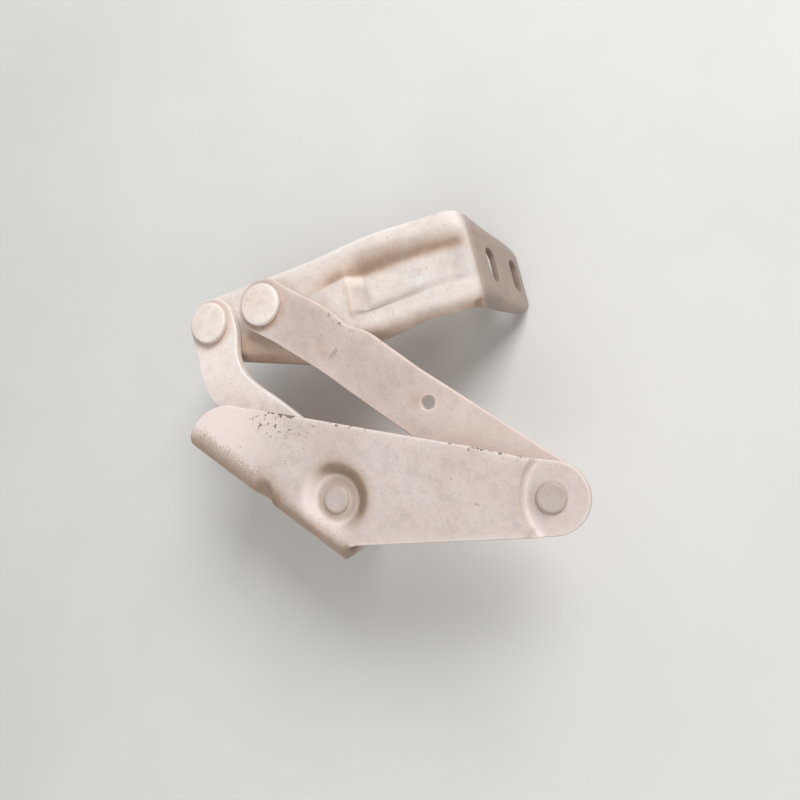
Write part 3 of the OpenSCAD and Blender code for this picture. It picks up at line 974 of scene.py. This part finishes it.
@dataclass
class BonnetArm:
    """Pressed arm: rolled shoulders, turned-down sides, a sunk recess and a slotted end flange.

    A station counts along the web's edge from the flange's lower corner: corner i covers the first half
    of its unit, and the side after it the second half.
    """

    thickness: float = 3.0
    angle: float = 44.9769
    pivot_span: float = 31.5
    pivot_set: float = 3.0
    recess_depth: float = 5.6
    upper_wall: float = 8.5
    lower_wall: float = 3.6
    recess_lowest: float = -6.0
    recess_middle: float = 88.0
    recess_end: float = 134.0
    slot_width: float = 9.0
    slot_length: float = 17.0
    slot_places: tuple[float, float] = (20.65, 46.65)
    slot_y: float = -14.0
    tail_hole: float = 4.25
    corners: list[Corner] = field(default_factory=lambda: [
        Corner(128.5, -27.0, 2.5, 4.0, 5.0), Corner(124.5, -2.4, 6.5, 5.0, 11.0),
        Corner(0.0, 0.0, 11.5, 5.0, 5.0), Corner(45.0, -17.5, 7.0, 8.0, 8.0)])
    reach: list[tuple[float, float]] = field(default_factory=lambda: [
        (0.0, 9.4), (0.10, 12.5), (0.19, 18.5), (0.26, 26.5), (0.33, 37.5), (0.38, 46.0), (0.42, 50.5),
        (0.46, 53.2), (0.5, 54.4), (1.0, 55.3), (1.05, 54.6), (1.09, 51.0), (1.12, 46.0), (1.16, 39.0),
        (1.22, 32.5), (1.30, 29.5), (1.5, 28.3), (2.0, 24.8), (2.06, 23.4), (2.14, 20.4), (2.24, 17.6),
        (2.36, 16.0), (2.5, 15.6), (3.0, 17.6), (3.5, 17.6), (3.71, 15.4), (3.80, 13.0),
        (3.89, 10.6), (3.96, 9.4), (4.0, 9.4)])
    flare: list[tuple[float, float]] = field(default_factory=lambda: [
        (0.0, 0.0), (0.12, 3.0), (0.3, 10.0), (0.42, 12.0), (1.0, 12.0), (1.12, 10.0), (1.25, 6.0),
        (1.42, 0.5), (1.5, 0.0), (4.0, 0.0)])

    def web(self) -> tuple[Array, Array, Array, Array]:
        """Return the loop where the flat web ends.

        Returns:
            The loop's points, the direction they face in degrees, their station and their roll radius.
        """
        count = len(self.corners)
        turns = []
        for i in range(count):
            a, b = self.corners[i], self.corners[(i + 1) % count]
            span = math.hypot(b.x - a.x, b.y - a.y)
            lean = math.degrees(math.asin((a.radius - b.radius) / span))
            turns.append(math.degrees(math.atan2(b.y - a.y, b.x - a.x)) - 90.0 + lean)
        rows = []
        for i, corner in enumerate(self.corners):
            start, end = turns[i - 1], turns[i]
            while end < start:
                end += 360.0
            for t in np.linspace(0.0, 1.0, max(8, int((end - start) / 3.0))):
                facing = start + t * (end - start)
                roll = corner.roll_in + t * (corner.roll_out - corner.roll_in)
                rows.append((*corner.at(facing), facing, i + 0.5 * t, roll))
            after = self.corners[(i + 1) % count]
            first, last = corner.at(end), after.at(end)
            for t in np.linspace(0.0, 1.0, 60)[1:-1]:
                roll = corner.roll_out + t * (after.roll_in - corner.roll_out)
                rows.append((*(first + t * (last - first)), end, i + 0.5 + 0.5 * t, roll))
        table = np.array(rows)
        points, station = table[:, :2], table[:, 3]
        # Both long sides bulge a little beside the recess
        points[:, 1] += 2.2 * bump(points[:, 0], self.recess_middle, 24.0) * (np.abs(station - 1.75) < 0.25)
        points[:, 1] += 1.5 * bump(points[:, 0], 107.0, 11.0) * (station > 3.5)
        return points, table[:, 2], station, table[:, 4]

    def along(self, knots: list[tuple[float, float]], station: Array) -> Array:
        """Return the value of a list of knots at each station."""
        place, value = zip(*knots)
        return np.interp(station, place, value)

    def outline(self) -> Array:
        """Return the blank's outline in the arm's frame."""
        points, facing, station, _ = self.web()
        box = np.radians(facing)
        out = np.column_stack([np.cos(box), np.sin(box)])
        loop = points + out * self.along(self.reach, station)[:, None]
        return relax(resample(loop, 1.0), 6)

    def crease(self, x: Array) -> Array:
        """Return the y where the recess's upper wall meets its floor."""
        return 0.2 - 0.0025 * (x - self.recess_middle) ** 2

    def foot(self, x: Array) -> Array:
        """Return the y where the recess's floor meets its lower wall."""
        return -18.2 - 0.012 * np.maximum(x - 114.0, 0.0) ** 2

    def sink(self, plan: Array) -> Array:
        """Return the recess's depth: a broad upper wall, a flat floor and a steep lower wall."""
        x, y = plan.T
        upper = unit((self.crease(x) + self.upper_wall - y) / self.upper_wall) ** 1.6
        lower = rise(y, self.foot(x) - self.lower_wall, self.lower_wall)
        ends = rise(x, 72.4, 8.5) * fall(x, self.recess_end, 12.0)
        return self.recess_depth * upper * lower * ends * (1.0 - 0.5 * rise(x, self.recess_middle, 38.0))

    def place(self, blank: Array, depth: Array) -> Array:
        """Roll the blank's sides down, sink its recess and set it on its pivots.

        Args:
            blank: Points of the flat blank in the arm's frame.
            depth: Depth of each point below the outer face.

        Returns:
            Points in the hinge's frame, in millimetres.
        """
        loop, _, station, roll = self.web()
        flare = np.radians(self.along(self.flare, station))
        step = np.roll(loop, -1, axis=0) - loop
        size = np.maximum((step ** 2).sum(axis=1), 1e-12)
        foot = np.zeros_like(blank)
        r, f = np.zeros(len(blank)), np.zeros(len(blank))
        for start in range(0, len(blank), CHUNK):
            span = slice(start, start + CHUNK)
            gap = blank[span][:, None, :] - loop[None, :, :]
            t = unit((gap * step[None]).sum(axis=2) / size[None])
            pick = np.linalg.norm(gap - t[:, :, None] * step[None], axis=2).argmin(axis=1)
            share = t[np.arange(len(gap)), pick]
            foot[span] = loop[pick] + share[:, None] * step[pick]
            after = (pick + 1) % len(loop)
            r[span] = roll[pick] * (1.0 - share) + roll[after] * share
            f[span] = flare[pick] * (1.0 - share) + flare[after] * share
        out = blank - foot
        length = np.linalg.norm(out, axis=1)
        length = np.where(inside(blank, loop), 0.0, length)
        out = out / np.maximum(np.linalg.norm(out, axis=1), 1e-9)[:, None]
        turn = np.minimum(length / r, 0.5 * math.pi - f)
        past = np.maximum(length - r * (0.5 * math.pi - f), 0.0)
        wide = r * np.sin(turn) + past * np.sin(f)
        z = -r * (1.0 - np.cos(turn)) - past * np.cos(f)
        flat = (length == 0.0)[:, None]
        plan = np.where(flat, blank, foot + out * wide[:, None])
        side = np.where(flat, 0.0, out * np.sin(turn)[:, None])
        plan = plan - side * depth[:, None]
        z = z - np.where(flat[:, 0], 1.0, np.cos(turn)) * depth - self.sink(plan) * (z > self.recess_lowest)
        return np.column_stack([turned(plan, PIVOT_B, self.angle), ARM_Z + z])

    def shade_and_stain(self, blank: Array) -> Array:
        """Return where painted shade with some soil lies: on the recess's upper wall and left end, the
        lower side, the web between the links and the flange.
        """
        x, y = blank.T
        crease = self.crease(x)
        wide = 12.0 - 5.0 * rise(x, 90.0, 35.0)
        below = 1.6 + 3.4 * rise(x, 74.0, 10.0)
        # Painted shade on the recess's upper wall, which faces away from the light
        wall = fall(y, crease + wide, wide) * rise(y, crease - below, 0.9 * below)
        wall *= 0.88 * rise(x, 48.0, 22.0) * fall(x, 136.0, 8.0)
        inner = fall(y, -1.0, 3.0) * rise(y, -22.0, 3.0)
        left = inner * (0.45 * bump(x, 73.2, 1.3) + 0.12 * bump(x, 77.0, 4.5))
        edge = np.interp(x, [0.0, 45.0, 128.0], [-10.5, -24.0, -29.0])
        low = fall(y, edge + 2.0, 9.0) * (x < self.recess_end)
        under = low * (0.66 + 0.3 * bump(x, self.recess_end, 8.0) + 0.25 * fall(x, 50.0, 20.0))
        shade = 0.78 * fall(y, -4.0, 9.0) * fall(x, 62.0, 20.0)
        flange = rise(x, 132.5, 6.0) + 0.6 * bump(x, 131.6, 2.0) * fall(y, -31.0, 3.0)
        return unit(np.maximum(np.maximum(wall, left), np.maximum(under, shade)) + flange)

    def dull(self, blank: Array) -> Array:
        """Return where grey is painted: painted shade in the recess's lower crease, at its left end and on
        the flange.
        """
        x, y = blank.T
        foot = self.foot(x) - 0.6
        fade = rise(x, 70.0, 5.0) * (1.0 - 0.65 * rise(x, 84.0, 34.0))
        fade *= fall(x, self.recess_end, 12.0)
        spot = 0.8 * bump(x, 79.6, 2.4) + 0.5 * bump(x, 75.6, 2.6)
        spot *= fall(y, -3.0, 5.0) * rise(y, -20.0, 4.0)
        flange = rise(x, 130.5, 5.0)
        return unit(np.maximum(np.maximum(fade * bump(y, foot, 2.4), spot), flange))

    def pale(self, blank: Array) -> Array:
        """Return where light is painted: a painted sheen on the upper shoulder, a painted highlight in part
        of the recess and a faint one on the bend.
        """
        x, y = blank.T
        # Painted sheen along the upper shoulder; the glint is a painted highlight
        top = 0.55 * rise(y, 11.0, 7.0) * rise(x, 30.0, 25.0) * fall(x, 118.0, 14.0)
        glint = 0.6 * bump(x, 107.0, 5.5) * bump(y, -13.4, 2.4)
        bend = 0.12 * bump(x, 130.5, 3.5) * rise(y, -32.0, 6.0)
        return np.maximum(np.maximum(top, glint), bend)

    def slot(self, x: float) -> Array:
        """Return one of the flange's slots as a loop in the blank."""
        r, half = 0.5 * self.slot_width, 0.5 * (self.slot_length - self.slot_width)
        points = arc(np.array([x, self.slot_y + half]), r, 180.0, 0.0, 20)
        points += arc(np.array([x, self.slot_y - half]), r, 0.0, -180.0, 20)
        return resample(points, 0.7)

    def build(self) -> bpy.types.Object:
        """Build and dress the arm.

        Returns:
            The finished piece, which replaces the plain solid.
        """
        edge = self.corners[0].x + self.corners[0].radius
        second = arc(np.zeros(2), self.pivot_span, -self.pivot_set, -self.pivot_set, 1)[0]
        holes = [self.slot(edge + at) for at in self.slot_places]
        holes += [round_hole(p, self.tail_hole) for p in (np.zeros(2), second)]
        sheet = Sheet(self.outline(), holes, self.place, self.thickness, grid=1.1, edge_radius=0.5)
        piece = sheet.build("arm_pressing", {
            Layer.SHADE_AND_STAIN: self.shade_and_stain, Layer.PAINTED_LIGHT: self.pale, Layer.GREYING_AND_SHADE: self.dull})
        piece.data.materials.append(ARM_PAINT.material())
        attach(piece, "arm")
        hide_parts("bonnet_arm")
        return piece


@dataclass
class RivetPair:
    """Two shouldered rivets of one body, spun and set by a node tree.

    A journal runs from its head's shoulder to the face of the sheet that the tail grips.
    """

    name: str
    body: str
    nodes: tuple[str, str]
    pivots: tuple[Array, Array]
    shoulders: tuple[float, float]
    face_z: float
    grip: float
    side: HeadSide
    head_radius: float = 10.2
    head_height: float = 3.0
    journal_radius: float = 5.5
    tail_radius: float = 4.2
    button_radius: float = 6.0
    button_height: float = 1.35
    segments: int = 72
    finish: WornPaint = RIVET_PAINT

    def profile(self) -> list[tuple[float, float, float]]:
        """Return the rivet's half section: radius, 1 where the journal's length is added, height."""
        r, h, b = self.head_radius, self.head_height, self.button_radius
        head = [(0.0, h), (0.35 * r, h), (0.7 * r, h - 0.02), (r - 1.0, h - 0.06), (r - 0.55, h - 0.16),
                (r - 0.22, h - 0.4), (r - 0.06, h - 0.72), (r, h - 1.1), (r, 0.5), (r - 0.12, 0.15),
                (r - 0.4, 0.0), (self.journal_radius, 0.0)]
        low, end = -self.grip, -self.grip - self.button_height
        tail = [(self.journal_radius, 0.0), (self.tail_radius, 0.0), (self.tail_radius, low),
                (b - 0.25, low), (b, low - 0.25), (b - 0.02, low - 0.75), (b - 0.2, end + 0.4),
                (b - 0.55, end + 0.1), (b - 1.0, end), (b - 1.9, end + 0.12), (0.45 * b, end + 0.25),
                (0.0, end + 0.28)]
        return [(x * MM, 0.0, z * MM) for x, z in head] + [(x * MM, 1.0, z * MM) for x, z in tail]

    def spinner(self) -> bpy.types.NodeTree:
        """Return the node group that spins the half section round the pivot."""
        tree = new_group("spun_rivet", {
            "Section": "Geometry", "Rows": "Int", "Segments": "Int", "Journal": "Float"}, "Rivet")
        g = Graph(tree)
        given = g.node("NodeGroupInput").outputs
        around = g.plus(given["Segments"], 1.0)
        grid = g.node("GeometryNodeMeshGrid", {
            "Size X": 1.0, "Size Y": 1.0, "Vertices X": given["Rows"], "Vertices Y": around})
        index = g.node("GeometryNodeInputIndex").outputs[0]
        row = g.math("FLOOR", g.math("DIVIDE", g.plus(index, 0.5), around))
        column = g.math("SUBTRACT", index, g.times(row, around))
        here = g.node("GeometryNodeInputPosition").outputs[0]
        taken = g.node("GeometryNodeSampleIndex", {
            "Geometry": given["Section"], "Value": here, "Index": row}, data_type="FLOAT_VECTOR")
        part = g.node("ShaderNodeSeparateXYZ", {0: taken.outputs[0]}).outputs
        height = g.math("SUBTRACT", part[2], g.times(part[1], given["Journal"]))
        angle = g.math("DIVIDE", g.times(column, 2.0 * math.pi), given["Segments"])
        spun = g.node("ShaderNodeCombineXYZ", {
            0: g.times(part[0], g.math("COSINE", angle)),
            1: g.times(part[0], g.math("SINE", angle)), 2: height})
        moved = g.node("GeometryNodeSetPosition", {
            "Geometry": grid.outputs["Mesh"], "Position": spun.outputs[0]})
        merged = g.node("GeometryNodeMergeByDistance", {
            "Geometry": moved.outputs[0], "Distance": 1e-6})
        g.node("NodeGroupOutput", {0: merged.outputs[0]})
        return tree

    def pair_tree(self) -> bpy.types.NodeTree:
        """Return the node tree that sets one spun rivet on each pivot."""
        spin = self.spinner()
        tree = new_group(self.name + "_tree", {
            "Section": "Geometry", "Rows": "Int", "Segments": "Int", "Turn": "Vector",
            "First Pivot": "Vector", "Second Pivot": "Vector", "First Journal": "Float",
            "Second Journal": "Float", "Finish": "Material"}, "Rivets")
        g = Graph(tree)
        given = g.node("NodeGroupInput").outputs
        join = g.node("GeometryNodeJoinGeometry")
        for which in ("First", "Second"):
            rivet = g.node("GeometryNodeGroup", node_tree=spin)
            for name in ("Section", "Rows", "Segments"):
                tree.links.new(given[name], rivet.inputs[name])
            tree.links.new(given[which + " Journal"], rivet.inputs["Journal"])
            single = g.node("GeometryNodeGeometryToInstance", {0: rivet.outputs[0]})
            spot = g.node("GeometryNodeTransform", {
                "Geometry": single.outputs[0], "Translation": given[which + " Pivot"],
                "Rotation": given["Turn"]})
            tree.links.new(spot.outputs[0], join.inputs[0])
        real = g.node("GeometryNodeRealizeInstances", {0: join.outputs[0]})
        dressed = g.node("GeometryNodeSetMaterial", {
            "Geometry": real.outputs[0], "Material": given["Finish"]})
        g.node("NodeGroupOutput", {0: dressed.outputs[0]})
        return tree

    def inputs(self) -> dict[str, object]:
        """Return the tree's inputs by name."""
        spots = [Vector((*(p * MM), z * MM)) for p, z in zip(self.pivots, self.shoulders)]
        journals = [abs(z - self.face_z) * MM for z in self.shoulders]
        turn = Vector((0.0 if self.side is HeadSide.UP else math.pi, 0.0, 0.0))
        return {"Rows": len(self.profile()), "Segments": self.segments, "Turn": turn,
                "First Pivot": spots[0], "Second Pivot": spots[1],
                "First Journal": journals[0], "Second Journal": journals[1],
                "Finish": self.finish.material()}

    def build(self) -> bpy.types.Object:
        """Build and dress both rivets as one mesh.

        Returns:
            The finished piece, which replaces the two plain solids.
        """
        section = bpy.data.meshes.new(self.name + "_section")
        points = self.profile()
        section.from_pydata(points, [(i, i + 1) for i in range(len(points) - 1)], [])
        carrier = add(self.name + "_section", section)
        tree = self.pair_tree()
        modifier = carrier.modifiers.new("rivets", "NODES")
        modifier.node_group = tree
        values = self.inputs()
        for item in tree.interface.items_tree:
            if item.in_out == "INPUT" and item.name in values:
                modifier[item.identifier] = values[item.name]
        bpy.context.view_layer.update()
        ready = carrier.evaluated_get(bpy.context.evaluated_depsgraph_get())
        mesh = bpy.data.meshes.new_from_object(ready)
        carrier.modifiers.remove(modifier)
        bpy.data.objects.remove(carrier)
        mesh.name = self.name
        self.dress(mesh)
        piece = add(self.name, mesh)
        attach(piece, self.body)
        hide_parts(*self.nodes)
        return piece

    def dress(self, mesh: bpy.types.Mesh) -> None:
        """Smooth the mesh and store its layers of wear, painted shade and painted light.

        Args:
            mesh: The realised rivets.
        """
        mesh.polygons.foreach_set("use_smooth", np.ones(len(mesh.polygons), bool))
        co = np.zeros(len(mesh.vertices) * 3)
        mesh.vertices.foreach_get("co", co)
        co = co.reshape(-1, 3) / MM
        reach = np.min([apart(co[:, :2], p) for p in self.pivots], axis=0)
        # Painted highlight and chips along each head's rim
        edge = 0.85 * bump(reach, self.head_radius, 0.8)
        foot = np.abs(reach - self.head_radius) < 0.5
        base = np.min([np.abs(co[:, 2] - z) for z in self.shoulders], axis=0)
        # Painted shade in the crevice under each head
        shade_and_stain = foot * unit(1.0 - base / 1.6)
        down = self.side is HeadSide.DOWN
        # Painted shade round each button, and a greyer button
        ring = bump(reach, self.button_radius - 0.4, 0.6) * down
        dull = 0.55 * down * (reach < self.button_radius)
        second = apart(co[:, :2], self.pivots[1])
        chips = (not down) * (0.05 + 0.11 * bump(second, 2.0, 6.0))
        store(mesh, {Layer.EDGE: edge, Layer.SHADE_AND_STAIN: unit(shade_and_stain + 0.6 * ring),
                     Layer.GREYING_AND_SHADE: dull, Layer.CHIPS: chips})


@dataclass
class Bearings:
    """Washers and bushes at the pivots, which keep their solids."""

    washers: tuple[str, ...] = ("washer_a", "washer_b", "washer_c", "washer_d")
    bushes: tuple[str, ...] = ("bush_a", "bush_b", "bush_d")

    def dress(self) -> list[str]:
        """Give each solid its metal.

        Returns:
            The names of the dressed nodes.
        """
        for names, finish in ((self.washers, WASHER_STEEL), (self.bushes, BUSH_BRONZE)):
            metal = finish.material()
            for name in names:
                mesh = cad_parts[name].data
                mesh.materials.clear()
                mesh.materials.append(metal)
        return [*self.washers, *self.bushes]


@dataclass(frozen=True)
class Lamp:
    """A soft square lamp, placed from the point that it faces, in metres and watts."""

    name: str
    place: Point
    size: float
    power: float

    def hang(self, aim: Point) -> None:
        """Add the lamp to the scene.

        Args:
            aim: The point it faces.
        """
        light = bpy.data.lights.new(self.name, "AREA")
        light.shape = "SQUARE"
        light.size = self.size
        light.energy = self.power
        piece = add(self.name, light)
        piece.location = Vector(aim) + Vector(self.place)
        piece.rotation_euler = (-Vector(self.place)).to_track_quat("-Z", "Y").to_euler()


@dataclass
class Studio:
    """Plain pale floor, soft light and the photograph's viewpoint."""

    floor_size: float = 6.0
    floor_colour: Colour = (0.74, 0.73, 0.715)
    sky_colour: Colour = (1.0, 0.98, 0.96)
    ambient: float = 0.38
    aim: Point = (0.01, 0.06, 0.01)
    lamps: tuple[Lamp, ...] = (Lamp("key_lamp", (-0.0255, 1.2484, 0.9516), 0.88, 22.0),
                               Lamp("fill_lamp", (0.5, -0.6, 0.7), 0.9, 3.3))
    eye: Point = (0.1324, 0.0986, 0.2747)
    right: Point = (0.7958, 0.4775, -0.3720)
    up: Point = (-0.4784, 0.8727, 0.0968)
    lens: float = 27.9

    def floor(self) -> bpy.types.Object:
        """Lay the floor under both flanges."""
        half = 0.5 * self.floor_size
        mesh = bpy.data.meshes.new("studio_floor")
        corners = [(-half, -half), (half, -half), (half, half), (-half, half)]
        mesh.from_pydata([(x, y, FLOOR_Z * MM) for x, y in corners], [], [(0, 1, 2, 3)])
        piece = add("studio_floor", mesh)
        made, g = new_graph("floor_paper")
        where = g.node("ShaderNodeTexCoord").outputs["Object"]
        dim = rgba(tuple(0.96 * c for c in self.floor_colour))
        colour = g.mix(g.band(g.noise(where, 9.0, 3.0), 0.3, 0.7), rgba(self.floor_colour), dim)
        g.surface({"Base Color": colour, "Roughness": 0.85})
        mesh.materials.append(made)
        return piece

    def camera(self) -> None:
        """Set the camera at the photograph's viewpoint."""
        data = bpy.data.cameras.new("photo_camera")
        data.sensor_width = 36.0
        data.lens = self.lens
        data.clip_start = 0.005
        piece = add("photo_camera", data)
        right = Vector(self.right).normalized()
        up = Vector(self.up)
        up = (up - right * up.dot(right)).normalized()
        back = right.cross(up)
        turn = Matrix((right, up, back)).transposed()
        piece.matrix_world = Matrix.Translation(Vector(self.eye)) @ turn.to_4x4()
        bpy.context.scene.camera = piece

    def build(self) -> None:
        """Set up the floor, the light and the camera."""
        self.floor()
        world = bpy.data.worlds.new("studio")
        bpy.context.scene.world = world
        world.use_nodes = True
        sky = world.node_tree.nodes["Background"]
        sky.inputs[0].default_value = rgba(self.sky_colour)
        sky.inputs[1].default_value = self.ambient
        for lamp in self.lamps:
            lamp.hang(self.aim)
        bpy.context.scene.view_settings.view_transform = "Standard"
        self.camera()


def corners(box: tuple[Vector, Vector]) -> list[list[float]]:
    """Return a box's corners as plain lists."""
    return [[float(v) for v in corner] for corner in box]


def main() -> None:
    """Build the hinge piece by piece, then the studio around it."""
    logging.basicConfig(level=logging.INFO, format="%(name)s: %(message)s")
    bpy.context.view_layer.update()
    under = LINK_Z - ShortLink.thickness - HEAD_GAP
    over = LINK_Z + HEAD_GAP
    makers = [
        BodyBracket(), ShortLink(), LongLink(), BonnetArm(),
        RivetPair("bracket_rivets", "bracket", ("rivet_a", "rivet_d"), (PIVOT_A, PIVOT_D),
                  (under, under), SEAT_Z - BodyBracket.thickness, BodyBracket.thickness,
                  HeadSide.DOWN, finish=BRACKET_PAINT),
        RivetPair("arm_rivets", "arm", ("rivet_b", "rivet_c"), (PIVOT_B, PIVOT_C),
                  (over, over + LongLink.joggle), ARM_Z, BonnetArm.thickness, HeadSide.UP)]
    for maker in makers:
        piece = maker.build()
        log.info("%s: %d faces", piece.name, len(piece.data.polygons))
    for name in Bearings().dress():
        log.info("%s: metal", name)
    Studio().build()


if __name__ == "__main__":
    main()
